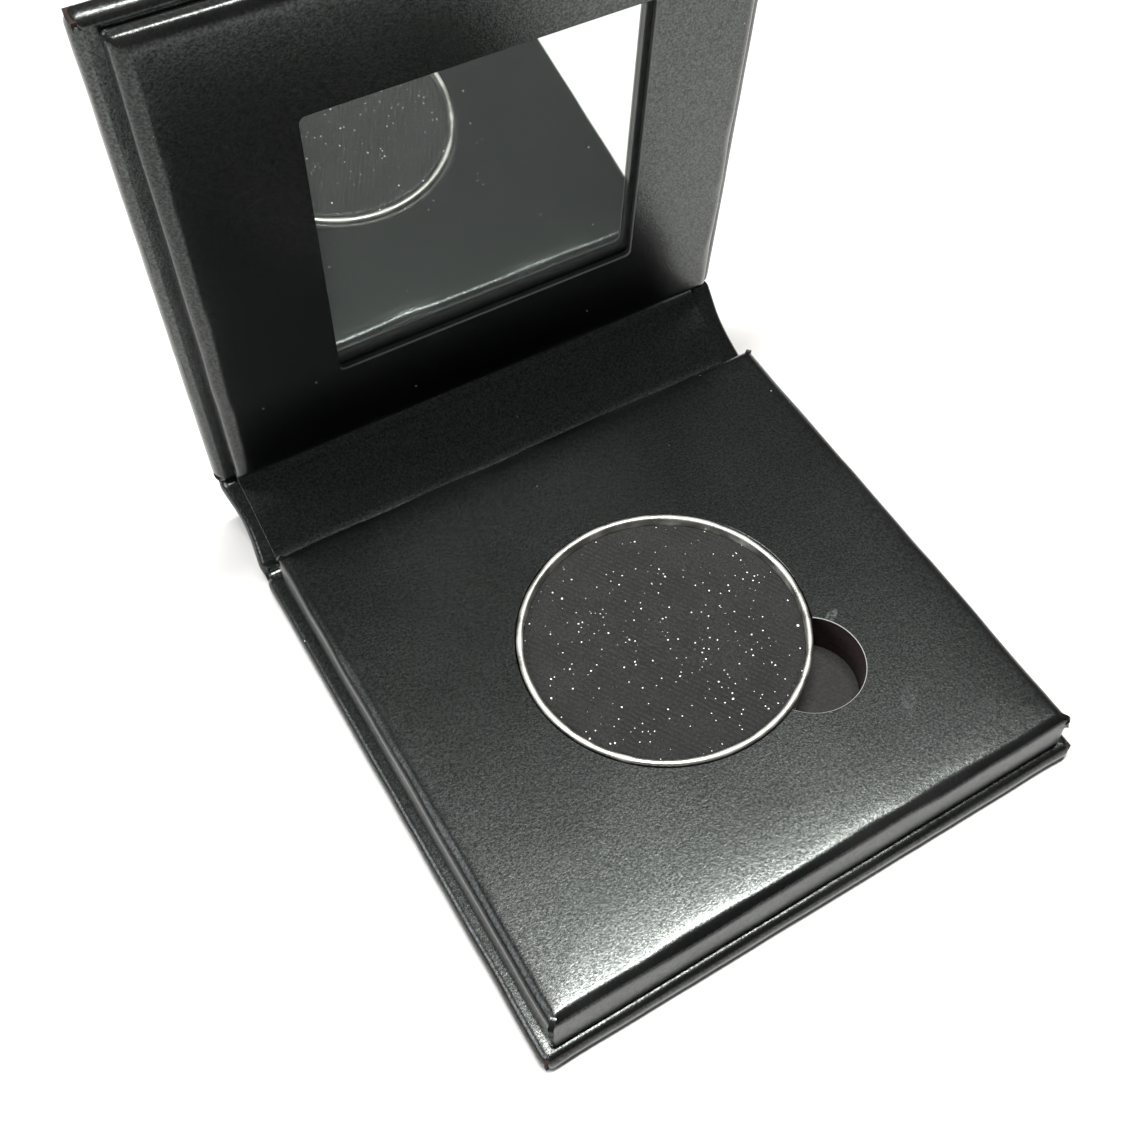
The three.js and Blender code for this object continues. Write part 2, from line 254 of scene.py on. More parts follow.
def start_group(name, inputs, outputs):
    """A shader group with named number inputs and outputs."""
    tree = bpy.data.node_groups.new(name, "ShaderNodeTree")
    for label, default in inputs.items():
        socket = tree.interface.new_socket(label, in_out="INPUT", socket_type="NodeSocketFloat")
        socket.default_value = default
    for label in outputs:
        tree.interface.new_socket(label, in_out="OUTPUT", socket_type="NodeSocketFloat")
    return tree, tree.nodes.new("NodeGroupInput").outputs, tree.nodes.new("NodeGroupOutput").inputs


def place_group(tree, group, inputs):
    return node(tree, "ShaderNodeGroup", inputs, node_tree=group).outputs


def grey(value, warm=0.0):
    """A grey colour, a little warmer or cooler."""
    return (value * (1 + warm), value, value * (1 - warm), 1)


print("material helpers ready")

# %% [markdown]
# ## Paper grain
# Soft-touch film is a fine matte skin over paper fibres. Up close its highlight breaks up
# into tiny grains, and over a few millimetres the paper is never quite flat. The group gives
# both as heights, a slow mottling for colour and roughness, and glints for the gloss.

# %% Group: paper grain
GRAIN, group_in, group_out = start_group(
    "paper_grain", {"Grain": 6000.0, "Waves": 120.0}, ["Height", "Swell", "Mottle", "Glint"]
)
point = object_point(GRAIN)
fine = noise_at(GRAIN, point, group_in["Grain"], 3.0, 0.6)
pits = noise_at(GRAIN, point, maths(GRAIN, "MULTIPLY", group_in["Grain"], 0.31), 2.0)
fine_share = maths(GRAIN, "MULTIPLY", fine, 0.6)
pits_share = maths(GRAIN, "MULTIPLY", pits, 0.4)
glint_scale = maths(GRAIN, "MULTIPLY", group_in["Grain"], 0.8)
feed(GRAIN, group_out, {
    "Height": maths(GRAIN, "ADD", fine_share, pits_share),
    "Swell": noise_at(GRAIN, point, group_in["Waves"], 2.0),
    "Mottle": noise_at(GRAIN, point, 75.0, 2.0, 0.5),
    "Glint": noise_at(GRAIN, point, glint_scale, 2.0, 0.7),
})
print("group:", GRAIN.name)

# %% [markdown]
# ## Dust
# Black paper shows every speck. A Voronoi pattern is cut down to a small disc in each cell,
# and the cell's random colour chooses which cells keep theirs and how large it is.

# %% Group: dust
DUST, group_in, group_out = start_group(
    "dust", {"Cells": 700.0, "Share": 0.06, "Size": 0.1}, ["Mask"]
)
point = object_point(DUST)
wobble = node(DUST, "ShaderNodeTexNoise", {"Vector": point, "Scale": 3000.0}).outputs["Color"]
WOBBLE_SHARE = 0.00012
mixed = {0: WOBBLE_SHARE, 4: point, 5: wobble}
bent = node(DUST, "ShaderNodeMix", mixed, data_type="VECTOR").outputs[1]
cells = node(DUST, "ShaderNodeTexVoronoi", {"Vector": bent, "Scale": group_in["Cells"]})
pick = node(DUST, "ShaderNodeSeparateColor", {0: cells.outputs["Color"]})
chosen = maths(DUST, "LESS_THAN", pick.outputs[0], group_in["Share"])
radius = maths(DUST, "MULTIPLY", group_in["Size"], maths(DUST, "ADD", pick.outputs[1], 0.3))
inside = maths(DUST, "LESS_THAN", cells.outputs["Distance"], radius)
feed(DUST, group_out, {"Mask": maths(DUST, "MULTIPLY", chosen, inside)})
print("group:", DUST.name)

# %% [markdown]
# ## Scuffs
# A fingernail or the pan's edge rubs the film here and there. A scuff is a short soft streak
# at a place on the piece, turned its own way and broken up by noise.

# %% Group: scuff
SCUFF, group_in, group_out = start_group(
    "scuff", {"X": 0.0, "Y": 0.0, "Turn": 0.0, "Long": 1.0, "Wide": 0.3, "Depth": 0.5}, ["Mask"]
)
spot = node(SCUFF, "ShaderNodeCombineXYZ", {"X": group_in["X"], "Y": group_in["Y"]}).outputs[0]
axis = node(SCUFF, "ShaderNodeCombineXYZ", {"Z": group_in["Turn"]}).outputs[0]
apart = node(
    SCUFF, "ShaderNodeVectorMath", {0: object_point(SCUFF), 1: spot}, operation="SUBTRACT"
).outputs[0]
turned = node(
    SCUFF, "ShaderNodeVectorRotate", {"Vector": apart, "Rotation": axis}, rotation_type="EULER_XYZ"
).outputs[0]
parts = node(SCUFF, "ShaderNodeSeparateXYZ", {0: turned}).outputs
along = maths(SCUFF, "DIVIDE", parts[0], group_in["Long"])
across = maths(SCUFF, "DIVIDE", parts[1], group_in["Wide"])
away = maths(SCUFF, "ADD", maths(SCUFF, "POWER", along, 2.0), maths(SCUFF, "POWER", across, 2.0))
flakes = ramp(SCUFF, noise_at(SCUFF, object_point(SCUFF), 1900.0, 3.0, 0.7), 0.4, 0.65)
streak = maths(SCUFF, "MULTIPLY", ramp(SCUFF, away, 0.0, 1.0, 1.0, 0.0), flakes)
feed(SCUFF, group_out, {"Mask": maths(SCUFF, "MULTIPLY", streak, group_in["Depth"])})
print("group:", SCUFF.name)

# %% [markdown]
# ## Soft-touch paper
# The wrap is nearly black, with a broad satin sheen. Where it is folded over an edge, the
# film thins: the paper shows grey in patches and loses its gloss. Each paper piece carries
# a "wear" number on its points, which this finish reads.

# %% Soft-touch paper
FILM_IOR = 1.6
FILM_TINT = (0.925, 1.0, 0.98, 1)
SCUFFED = (0.11, 0.12, 0.13, 1)


def soft_touch(name, shade=0.0016, rough=0.252, dust_share=0.05, scuffs=()):
    material, tree, surface = start_material(name)
    sheet = place_group(tree, GRAIN, {"Grain": 6000.0, "Waves": 120.0})
    specks = place_group(tree, DUST, {"Cells": 1200.0, "Share": dust_share, "Size": 0.08})
    wear = node(tree, "ShaderNodeAttribute", attribute_name="wear").outputs["Fac"]
    patchy = maths(tree, "MULTIPLY", wear, ramp(tree, sheet["Mottle"], 0.42, 0.7, 0.02, 0.12))
    black = mix_colour(tree, sheet["Mottle"], grey(shade * 0.8, -0.03), grey(shade * 1.3, -0.05))
    worn = mix_colour(tree, patchy, black, grey(0.12))
    for spot in scuffs:
        worn = mix_colour(tree, place_group(tree, SCUFF, spot)["Mask"], worn, SCUFFED)
    gloss = ramp(tree, sheet["Glint"], 0.3, 0.7, 0.3, 0.9)
    film_left = maths(tree, "SUBTRACT", 1.0, wear, clamp=True)
    swell = bump(tree, 0.06, 0.0003, sheet["Swell"])
    feed(tree, surface, {
        "Base Color": mix_colour(tree, specks["Mask"], worn, grey(0.42)),
        "Roughness": ramp(tree, sheet["Mottle"], 0.3, 0.7, rough - 0.012, rough + 0.012),
        "Normal": bump(tree, 0.3, 0.00006, sheet["Height"], Normal=swell),
        "Specular IOR Level": maths(tree, "MULTIPLY", gloss, film_left),
        "Specular Tint": FILM_TINT,
        "IOR": FILM_IOR,
    })
    return material


PAPER = soft_touch("soft_touch_paper")
TRAY_PAPER = soft_touch("tray_paper", scuffs=(
    {"X": 0.0134, "Y": -0.0062, "Turn": -0.4, "Long": 0.0014, "Wide": 0.0005, "Depth": 1.0},
    {"X": 0.0144, "Y": -0.0166, "Turn": -0.9, "Long": 0.0022, "Wide": 0.0009, "Depth": 0.22},
))
LINING = soft_touch("lining_paper", shade=0.0012, rough=0.255, dust_share=0.01)
print("paper finishes ready")

# %% [markdown]
# ## Raw paper and board
# Where a knife has cut the wrap, its pale core shows as a thin line. Greyboard is pulp
# pressed in thin layers, so its noise is squeezed upright, and a bump makes it rough.


# %% Raw cut paper and raw board
def raw_paper(name, value):
    material, tree, surface = start_material(name)
    fibres = noise_at(tree, object_point(tree), 6000.0, 3.0)
    feed(tree, surface, {
        "Base Color": mix_colour(tree, fibres, grey(value * 0.5), grey(value * 1.4)),
        "Roughness": 0.8,
    })
    return material


def raw_board(name, dark, light):
    material, tree, surface = start_material(name)
    flat = node(tree, "ShaderNodeMapping", {"Vector": object_point(tree), "Scale": (1, 1, 6)})
    fibres = noise_at(tree, flat.outputs[0], 1500.0, 5.0, 0.7)
    feed(tree, surface, {
        "Base Color": mix_colour(tree, ramp(tree, fibres, 0.3, 0.7), dark, light),
        "Roughness": 0.95,
        "Normal": bump(tree, 0.6, 0.0001, fibres),
    })
    return material


CUT_PAPER = raw_paper("cut_paper_edge", 0.3)
BOARD = raw_board("greyboard_edge", (0.006, 0.003, 0.0025, 1), (0.026, 0.01, 0.008, 1))
print("raw finishes ready")

# %% [markdown]
# ## Metal and mirror
# The pan is thin tinplate, dull in places, with fine marks drawn out one way. The mirror is
# real: a clear pane over a silver coat. The coat is not quite all metal, and the part that
# isn't stands for the haze of dust on the pane.

# %% Metal finishes
TARNISH = (0.55, 0.55, 0.56, 1)


def metal(name, colour, rough, scratch):
    material, tree, surface = start_material(name)
    point = object_point(tree)
    long = node(tree, "ShaderNodeMapping", {"Vector": point, "Scale": (1, 14, 3)})
    marks = noise_at(tree, long.outputs[0], 900.0, 4.0, 0.6)
    dull = noise_at(tree, point, 500.0, 3.0)
    feed(tree, surface, {
        "Base Color": mix_colour(tree, ramp(tree, dull, 0.55, 0.8), colour, TARNISH),
        "Roughness": ramp(tree, dull, 0.3, 0.75, rough * 0.75, rough * 1.5),
        "Metallic": 1.0,
        "Normal": bump(tree, scratch, 0.00002, marks),
    })
    return material


TINPLATE = metal("tinplate", (0.46, 0.46, 0.43, 1), 0.46, 0.8)
STEEL = metal("closure_steel", (0.6, 0.61, 0.62, 1), 0.35, 0.5)


def mirror_silver():
    material, tree, surface = start_material("mirror_silver")
    specks = place_group(tree, DUST, {"Cells": 2000.0, "Share": 0.06, "Size": 0.12})
    haze = noise_at(tree, object_point(tree), 200.0, 4.0, 0.6)
    coat = mix_colour(tree, haze, (0.9, 0.92, 0.91, 1), (0.86, 0.89, 0.88, 1))
    feed(tree, surface, {
        "Base Color": mix_colour(tree, specks["Mask"], coat, grey(1.0)),
        "Roughness": ramp(tree, specks["Mask"], 0.0, 1.0, 0.006, 0.5),
        "Metallic": 0.84,
    })
    return material


SILVER = mirror_silver()
print("metal finishes ready")

# %% [markdown]
# ## Powder
# The powder was pressed through a woven cloth, which left fine slanting ribs, and it holds
# flecks of glitter. Relief this low hardly shows under a broad lamp, so the finish draws
# ribs too, as a bump and as painted shade that darkens the colour along them. The glitter
# is the dust group in two sizes.


# %% Powder
def pressed_powder():
    material, tree, surface = start_material("pressed_powder")
    point = object_point(tree)
    slanted = {"Vector": point, "Rotation": (0, 0, math.radians(-30))}
    turned = node(tree, "ShaderNodeMapping", slanted).outputs[0]
    loose = noise_at(tree, point, 260.0, 3.0)
    ribs = node(
        tree, "ShaderNodeTexWave",
        {"Vector": turned, "Scale": 680.0, "Distortion": 2.2, "Detail": 2.0, "Detail Scale": 1.5},
        wave_type="BANDS", bands_direction="X",
    ).outputs["Fac"]
    crumbs = noise_at(tree, point, 5200.0, 3.0, 0.7)
    raised = maths(tree, "MULTIPLY", ribs, ramp(tree, loose, 0.3, 0.6, 0.25, 0.8))
    # Painted shade along the ribs: their relief barely shades under the overhead lamp, so the colour is darkened
    # there instead.
    rib_painted_shade = maths(tree, "MULTIPLY", ribs, ramp(tree, loose, 0.35, 0.6, 0.1, 0.75))
    base = mix_colour(tree, ramp(tree, crumbs, 0.35, 0.65), grey(0.001, -0.02), grey(0.017, -0.03))
    # The base colour darkens towards near black where the painted rib shade is strong.
    base = mix_colour(tree, rib_painted_shade, base, grey(0.0015))
    flecks = place_group(tree, DUST, {"Cells": 2700.0, "Share": 0.34, "Size": 0.16})
    glints = place_group(tree, DUST, {"Cells": 1200.0, "Share": 0.12, "Size": 0.11})
    glitter = maths(tree, "MAXIMUM", flecks["Mask"], glints["Mask"])
    feed(tree, surface, {
        "Base Color": mix_colour(tree, glitter, base, grey(0.7)),
        "Metallic": maths(tree, "MULTIPLY", glitter, 0.25),
        "Roughness": maths(tree, "SUBTRACT", 0.9, maths(tree, "MULTIPLY", glitter, 0.5)),
        "Normal": bump(tree, 0.7, 0.00008, maths(tree, "ADD", raised, crumbs)),
    })
    return material


POWDER = pressed_powder()
print("powder finish ready")

# %% [markdown]
# ## Glass, rubber, tape and table
# The pane is clear glass with faint smears. The other finishes are matte and differ only in
# colour and grain, so one function makes them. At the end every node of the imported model
# gets the finish of its slot.


# %% Glass, rubber, tape and table
def pane_glass():
    material, tree, surface = start_material("mirror_glass")
    smears = noise_at(tree, object_point(tree), 130.0, 3.0)
    feed(tree, surface, {
        "Base Color": (0.97, 0.99, 0.98, 1),
        "Transmission Weight": 1.0,
        "IOR": 1.5,
        "Roughness": ramp(tree, smears, 0.6, 0.9, 0.0, 0.01),
    })
    return material


def matte(name, dark, light, scale, rough, depth):
    material, tree, surface = start_material(name)
    grain = noise_at(tree, object_point(tree), scale, 3.0, 0.6)
    feed(tree, surface, {
        "Base Color": mix_colour(tree, ramp(tree, grain, 0.3, 0.7), dark, light),
        "Roughness": rough,
        "Normal": bump(tree, 0.8, depth, grain),
    })
    return material


GLASS = pane_glass()
RUBBER = matte("magnetic_sheet", grey(0.0005), grey(0.009), 3600.0, 0.75, 0.00014)
FILLER = matte("filler_paper", grey(0.3, 0.03), grey(0.5, 0.04), 3000.0, 0.9, 0.00003)
CARD = matte("black_card_edge", grey(0.02), grey(0.05), 3500.0, 0.5, 0.00003)
TAPE = matte("mounting_tape", grey(0.5, 0.06), grey(0.62, 0.08), 2500.0, 0.7, 0.00002)
TABLE = matte("table_white", grey(0.6), grey(0.63), 40.0, 0.7, 0.00001)
table.data.materials.append(TABLE)
finish_of_slot = {
    "greyboard": BOARD, "filler_paper": FILLER, "magnetic_sheet": RUBBER,
    "closure_steel": STEEL, "mounting_tape": TAPE, "mirror_silver": SILVER,
    "mirror_glass": GLASS, "soft_touch_paper": PAPER, "lining_paper": LINING,
    "tinplate": TINPLATE, "pressed_powder": POWDER,
}
for part in frame["record"]["subparts"]:
    obj = frame["nodes"][part["node"]]
    obj.data.materials.clear()
    obj.data.materials.append(finish_of_slot[part["material_slot"]])

# %% [markdown]
# ## Making a piece
# Each piece is shaped in a bmesh lying flat, then set in place. A finished piece keeps its
# object at the origin, so that its patterns don't slide when it is exported.


# %% Finishing a piece
def finish_piece(bm, name, materials, place=None, smooth_angle=38):
    """Turns a bmesh into an object at the origin, with smooth shading up to an angle."""
    if place is not None:
        bmesh.ops.transform(bm, matrix=place, verts=bm.verts)
    mesh = bpy.data.meshes.new(name)
    for face in bm.faces:
        face.smooth = True
    for edge in bm.edges:
        edge.smooth = edge.calc_face_angle(math.pi) < math.radians(smooth_angle)
    bm.to_mesh(mesh)
    bm.free()
    for material in materials:
        mesh.materials.append(material)
    obj = bpy.data.objects.new(name, mesh)
    bpy.context.scene.collection.objects.link(obj)
    print(name, "has", len(mesh.polygons), "faces")
    return obj


def only(items, kind):
    """The items of one kind, out of what an operation returned."""
    return [item for item in items if isinstance(item, kind)]


print("piece helpers ready")

# %% [markdown]
# ## Cutting and rounding
# Most pieces start as a box with rounded edges, cut by planes into strips narrow enough to
# bend. Smooth steps let a change begin and end without a visible line.


# %% Cutting and rounding
def cut_across(bm, axis, stations):
    """Cuts the whole mesh with planes across x (0), y (1) or z (2)."""
    normal = Vector((0, 0, 0))
    normal[axis] = 1
    for station in stations:
        at = Vector((0, 0, 0))
        at[axis] = station
        geom = bm.verts[:] + bm.edges[:] + bm.faces[:]
        bmesh.ops.bisect_plane(bm, geom=geom, dist=1e-8, plane_co=at, plane_no=normal)


def spread(start, end, count):
    """Even stations strictly between two ends."""
    return [start + (end - start) * (i + 1) / (count + 1) for i in range(count)]


def smooth_step(value, low, high):
    """0 below the lower value, 1 above the higher one, with a soft start and end."""
    share = min(1.0, max(0.0, (value - low) / (high - low)))
    return share * share * (3 - 2 * share)


def block(bm, low, high):
    """A plain box between two corners."""
    made = bmesh.ops.create_cube(bm, size=1)
    bmesh.ops.scale(bm, vec=high - low, verts=made["verts"])
    bmesh.ops.translate(bm, vec=(low + high) / 2, verts=made["verts"])


def round_edges(bm, test, offset, segments):
    edges = [edge for edge in bm.edges if test(edge)]
    bmesh.ops.bevel(
        bm, geom=edges, offset=offset, segments=segments, profile=0.5,
        affect="EDGES", material=-1, clamp_overlap=True,
    )


def is_along(edge, axis):
    run = edge.verts[1].co - edge.verts[0].co
    return abs(run[axis]) > 0.99 * run.length


def ripple(point, scale, depth, seed):
    """A slow unevenness, the same on every run."""
    return depth * noise.noise(point * scale + Vector((seed, seed * 0.37, -seed)))


print("shape helpers ready")

# %% [markdown]
# ## The case paper
# One sheet of paper wraps all three boards. It is modelled flat, as a bookbinder makes it: a
# slab as thick as a wrapped board, thinner in the two grooves where it folds. Then it is
# bent, and it is parted at the middle of the spine, as a piece can bend over only one joint.

# %% The flat case and its bend
BOARD_THICK = BASE_HIGH.z
GROOVE_THICK = 1.45 * MM
GROOVE_HALF = 1.0 * MM
BOARD_BACK = 1.6 * MM
CASE_WIDTH = BASE_HIGH.x - BASE_LOW.x
HALF_WIDTH = CASE_WIDTH / 2
CASE_EDGE = 0.8 * MM
CASE_CORNER = 0.95 * MM
SPINE_MIDDLE = SPINE_PITCH / 2


def groove_share(distance):
    """0 in a groove, 1 over a board, from the distance to the fold."""
    return smooth_step(abs(distance), GROOVE_HALF * 0.3, BOARD_BACK)


def bend_at_fold(point, turn, reach):
    """Bends a flat sheet upwards about the fold at y = 0, over a short arc on each side."""
    radius = reach / math.tan(turn / 2)
    along = min(reach, max(-reach, point.y))
    angle = turn * (along + reach) / (2 * reach)
    out = radius - (point.z - FOLD_HEIGHT)
    past = point.y - along
    return Vector((
        point.x,
        -reach + out * math.sin(angle) + past * math.cos(angle),
        FOLD_HEIGHT + radius - out * math.cos(angle) + past * math.sin(angle),
    ))


def blend_at_fold(piece):
    """Bakes the piece's placement into its mesh."""
    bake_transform(piece)


print("case", round(CASE_WIDTH / MM, 2), "mm wide, spine", round(SPINE_PITCH / MM, 2), "mm")

# %% [markdown]
# ## The two halves of the case
# A hand-wrapped case is never quite straight. The paper is drawn in along the spine and at
# the grooves, a folded tip sticks out at the left end of one of them, a fold line is pressed
# into each corner, and the spine is a little hollow. Each is a small push on the points of a
# flat slab, before it is bent. The lower half also stands for the spine's board inside it.

# %% The slab and its pushes
GROOVE_PINCH = 0.22 * MM
WAIST_DEPTH = 0.5 * MM
TIP_LENGTH = 0.55 * MM
TIP_PLACE = 1.5 * MM
HOLLOW_DEPTH = 0.18 * MM


def case_slab(far_end, near_end, side):
    """A flat slab with rounded outer edges, cut finely near the fold."""
    bm = bmesh.new()
    low = Vector((-HALF_WIDTH, min(far_end, near_end), 0))
    high = Vector((HALF_WIDTH, max(far_end, near_end), BOARD_THICK))
    block(bm, low, high)
    round_edges(
        bm, lambda e: is_along(e, 2) and abs(e.verts[0].co.y - far_end) < 1e-6, CASE_CORNER, 6
    )
    round_edges(
        bm,
        lambda e: not is_along(e, 2) and e.calc_face_angle(0) > 1.2
        and not all(abs(v.co.y - near_end) < 1e-6 for v in e.verts),
        CASE_EDGE, 5,
    )
    cut_across(bm, 0, spread(low.x + 1.5 * MM, high.x - 1.5 * MM, 28))
    cut_across(bm, 1, [i * 0.2 * MM for i in range(-12, 13)])
    cut_across(bm, 1, spread(far_end - side * 1.5 * MM, side * 2.6 * MM, 30))
    cut_across(bm, 1, spread(near_end, -side * 2.6 * MM, 4))
    return bm


def draw_in(flat, far_end, near_end, groove, edge_x):
    """How far the paper is drawn in at its left and right ends, less the tip."""
    pinch = groove * edge_x * GROOVE_PINCH
    waist = 1 - smooth_step(abs(flat.y - near_end), 0, SPINE_MIDDLE)
    pinch += waist * WAIST_DEPTH * smooth_step(abs(flat.x), HALF_WIDTH - 2 * MM, HALF_WIDTH)
    if far_end > 0 and flat.x < 0:
        pinch -= max(0.0, 1 - abs(flat.y - TIP_PLACE) / (0.6 * MM)) * edge_x * TIP_LENGTH
    return pinch


def corner_push(flat, far_end, side):
    """The mitred fold is a line pressed into a rounded corner."""
    corner_x = HALF_WIDTH - CASE_CORNER - abs(flat.x)
    corner_y = far_end * side - CASE_CORNER - flat.y * side
    if corner_x >= 0 or corner_y >= 0:
        return 0.0
    around = math.degrees(math.atan2(corner_y, corner_x)) % 90
    fold_line = max(0.0, 1 - abs(around - 45) / 14)
    return (0.16 * fold_line - 0.05) * MM


print("the tip sticks out", round(TIP_LENGTH / MM, 2), "mm")


# %% The two halves of the case
def case_half(name, far_end, near_end, turn, place):
    """One half of the case, from its wrapped far end to the middle of the spine."""
    side = 1 if far_end > 0 else -1
    bm = case_slab(far_end, near_end, side)
    wear = bm.verts.layers.float.new("wear")
    for vert in bm.verts:
        flat = vert.co.copy()
        board = groove_share(flat.y)
        edge_x = smooth_step(abs(flat.x), HALF_WIDTH - 0.8 * MM, HALF_WIDTH)
        edge_y = smooth_step(flat.y * side, far_end * side - 0.8 * MM, far_end * side)
        edge = max(edge_x, edge_y)
        calm = smooth_step(abs(flat.y - near_end), 0, 2 * MM)
        dent = abs(ripple(flat, 150, 0.13 * MM, 9.0)) * calm
        corner = corner_push(flat, far_end, side)
        pinch = draw_in(flat, far_end, near_end, 1 - board, edge_x)
        vert.co.x -= math.copysign(pinch + edge_x * dent, flat.x)
        vert.co.x -= math.copysign(corner, flat.x)
        vert.co.y -= side * edge_y * dent
        vert.co.y -= side * corner
        thick = GROOVE_THICK + (BOARD_THICK - GROOVE_THICK) * board
        vert.co.z = flat.z * thick / BOARD_THICK
        if flat.y * side < 0:
            hollow = HOLLOW_DEPTH * smooth_step(abs(flat.y), 1.2 * MM, SPINE_MIDDLE)
            vert.co.z += hollow * (1 - flat.z / BOARD_THICK)
        vert.co.z += edge * calm * ripple(flat, 230, 0.05 * MM, 3.0)
        upper = smooth_step(flat.z, BOARD_THICK * 0.4, BOARD_THICK)
        bare = smooth_step(flat.x, HALF_WIDTH - 3.6 * MM, HALF_WIDTH - 2.4 * MM)
        on_spine = smooth_step(-flat.y * side, -1.5 * MM, 0.5 * MM)
        rubbed = edge * (0.2 + 0.3 * upper) + (1 - board) * edge_x * 0.6
        vert[wear] = rubbed + 0.3 * bare * on_spine * upper
    for vert in bm.verts:
        vert.co = bend_at_fold(vert.co, turn, GROOVE_HALF)
    return finish_piece(bm, name, [PAPER], place)


case_lower = case_half("case_paper_lower", BASE_LOW.y, SPINE_MIDDLE, SPINE_LEAN, BASE_PLACE)
blend_at_fold(case_lower)
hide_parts("base_wrap", "lower_crease_wrap", "spine_wrap", "spine_board")

SPINE_TOP_PLACE = place_at(UPPER_FOLD, SPINE_LEAN)
case_upper = case_half("case_paper_upper", LID_HIGH.y, -SPINE_MIDDLE, LID_TURN, SPINE_TOP_PLACE)
blend_at_fold(case_upper)
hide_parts("lid_wrap", "upper_crease_wrap")

# %% [markdown]
# ## The lining of the spine
# A strip of thin black paper covers the turned-in edges between the tray and the panel. It
# bridges the two grooves in one sweep, and its cut ends show the pale core of the paper as
# a thin light line. It stops short of the right end, where the case shows bare, and it is
# parted at the middle of the spine too.


# %% Lining strips
LINING_REACH = 2.5 * MM
LINING_THICK = 0.15 * MM
LINING_BULGE = 0.22 * MM
RIGHT_MARGIN = 2.7 * MM


def lining_half(name, node_name, node_place, far_side, turn, place):
    """One half of the lining, from its far end to the middle of the spine."""
    bm = bmesh.new()
    low, high = flat_box(node_name, node_place)
    far_end = low.y if far_side < 0 else high.y
    near_end = -far_side * SPINE_MIDDLE
    width = high.x
    bottom = BOARD_THICK + 0.05 * MM
    start = Vector((-width, min(far_end, near_end), bottom))
    right = min(width, HALF_WIDTH - RIGHT_MARGIN)
    end = Vector((right, max(far_end, near_end), bottom + LINING_THICK))
    block(bm, start, end)
    cut_across(bm, 1, spread(start.y, end.y, 44))
    cut_across(bm, 0, spread(start.x, end.x, 60))
    for face in bm.faces:
        face.material_index = 1 if abs(face.normal.x) > 0.9 else 0
    for vert in bm.verts:
        flat = vert.co.copy()
        calm = smooth_step(abs(flat.y - near_end), 0, 1.5 * MM)
        end_near = smooth_step(abs(flat.x), width - 3 * MM, width)
        vert.co.z += calm * (0.3 + end_near) * ripple(flat, 200, 0.06 * MM, 5.0)
        vert.co.x += end_near * ripple(flat * 0.6, 300, 0.05 * MM, 2.0)
        vert.co.z += LINING_BULGE * (1 - smooth_step(abs(flat.y - near_end), 0, SPINE_MIDDLE))
    for vert in bm.verts:
        vert.co = bend_at_fold(vert.co, turn, LINING_REACH)
    return finish_piece(bm, name, [LINING, CUT_PAPER], place)


lining_lower = lining_half(
    "lining_lower", "lower_crease_liner", BASE_PLACE, -1, SPINE_LEAN, BASE_PLACE
)
blend_at_fold(lining_lower)
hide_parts("lower_crease_liner", "spine_liner")

lining_upper = lining_half(
    "lining_upper", "upper_crease_liner", LID_PLACE, 1, LID_TURN, SPINE_TOP_PLACE
)
blend_at_fold(lining_upper)
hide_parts("upper_crease_liner")

# %% [markdown]
# ## Paper over a block
# The tray and the mirror panel are boards wrapped like a parcel, and paper never follows a
# board's edge sharply: it runs over in a soft shoulder. So the walls come from a box, and
# rings are extruded from its upper loop, each drawn in and lifted along part of an ellipse.


# %% Rings of paper
def loop_at(bm, height):
    """The open edges at one height."""
    return [
        edge for edge in bm.edges
        if edge.is_boundary and all(abs(v.co.z - height) < 1e-7 for v in edge.verts)
    ]


def ring_from(bm, loop, centre, reach, before, after, rise):
    """Extrudes a loop to the next ring: its inset goes from before to after, and it rises."""
    made = bmesh.ops.extrude_edge_only(bm, edges=loop)["geom"]
    verts = only(made, bmesh.types.BMVert)
    factor = ((reach.x - after) / (reach.x - before), (reach.y - after) / (reach.y - before), 1)
    bmesh.ops.scale(bm, vec=factor, verts=verts, space=Matrix.Translation(-centre))
    bmesh.ops.translate(bm, vec=(0, 0, rise), verts=verts)
    return only(made, bmesh.types.BMEdge)


def quarter_turn(bm, loop, centre, reach, inset, rise, steps):
    """Rings along a quarter of an ellipse, steep at first and flat at last."""
    for step in range(1, steps + 1):
        before = math.pi / 2 * (step - 1) / steps
        after = math.pi / 2 * step / steps
        loop = ring_from(
            bm, loop, centre, reach, inset * (1 - math.cos(before)), inset * (1 - math.cos(after)),
            rise * (math.sin(after) - math.sin(before)),
        )
    return loop


print("ring helpers ready")

# %% [markdown]
# ## Walls, shoulder and crown
# Beyond the shoulder the top still rises a few hundredths of a millimetre, since the board
# was crushed at its edge. Wider rings make that crown, which bends the lamp's sheen. The
# foot is turned under like the shoulder.

# %% Wrapped walls
CROWN_INSETS = [far * MM for far in (0, 0.5, 1.0, 1.6, 2.3, 3.1, 4.0, 5.0)]


